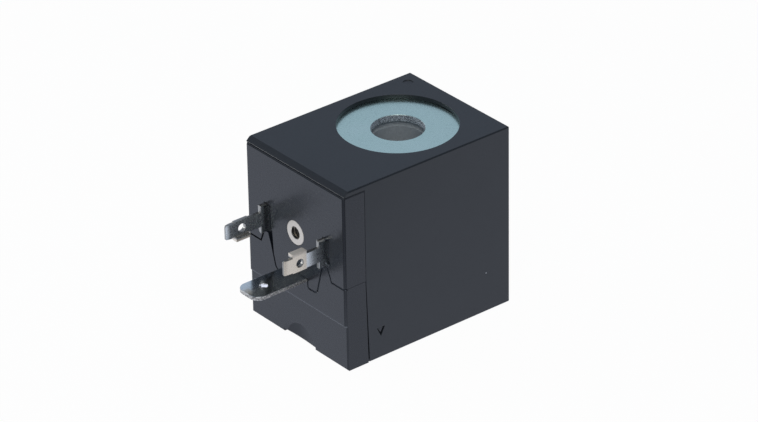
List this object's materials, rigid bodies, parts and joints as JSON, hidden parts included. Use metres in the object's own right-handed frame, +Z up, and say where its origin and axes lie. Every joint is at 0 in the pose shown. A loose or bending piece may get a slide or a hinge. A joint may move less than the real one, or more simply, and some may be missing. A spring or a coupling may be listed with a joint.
{
  "type": "solenoid valve coil",
  "caption": "Black encapsulated solenoid valve coil with a round tube bore, recessed windows, flat line terminals, an earth blade and a connector screw insert.",
  "frame": {"origin": "on the bore axis, in the lower face of the yoke's lower leg", "axes": "+Z up the bore, -Y the way the terminals and the connector screw point, +X to the right seen from the terminals"},
  "size_m": [0.03, 0.0534, 0.039],
  "materials": {
    "shell_plastic": "black moulded thermoplastic, fine spark-eroded texture",
    "front_plastic": "black moulded thermoplastic, fine spark-eroded texture",
    "zinc_steel": "sheet steel, blue-passivated zinc plating",
    "bobbin_plastic": "dark glass-filled moulding",
    "copper_wire": "enamelled copper wire",
    "tape": "thin yellow film tape",
    "resin": "cast resin",
    "tinned_brass": "bright tin plating on sheet brass",
    "tinned_steel": "bright plating on sheet steel",
    "rivet_steel": "plated steel",
    "insert_metal": "nickel-plated brass",
    "lead_copper": "enamelled copper wire",
    "sleeve": "woven insulating sleeve",
    "solder": "soft solder"
  },
  "bodies": {
    "root": {"housing": "shell_plastic", "terminal_cover": "front_plastic", "terminal_base": "front_plastic", "yoke": "zinc_steel", "bobbin": "bobbin_plastic", "winding": "copper_wire", "winding_tape": "tape", "potting_fill": "resin", "terminal_right": "tinned_brass", "terminal_left": "tinned_brass", "ground_blade": "tinned_steel", "ground_rivet": "rivet_steel", "threaded_insert": "insert_metal", "start_lead": "lead_copper", "finish_lead": "lead_copper", "start_sleeve": "sleeve", "finish_sleeve": "sleeve", "start_solder": "solder", "finish_solder": "solder"}
  },
  "joints": []
}
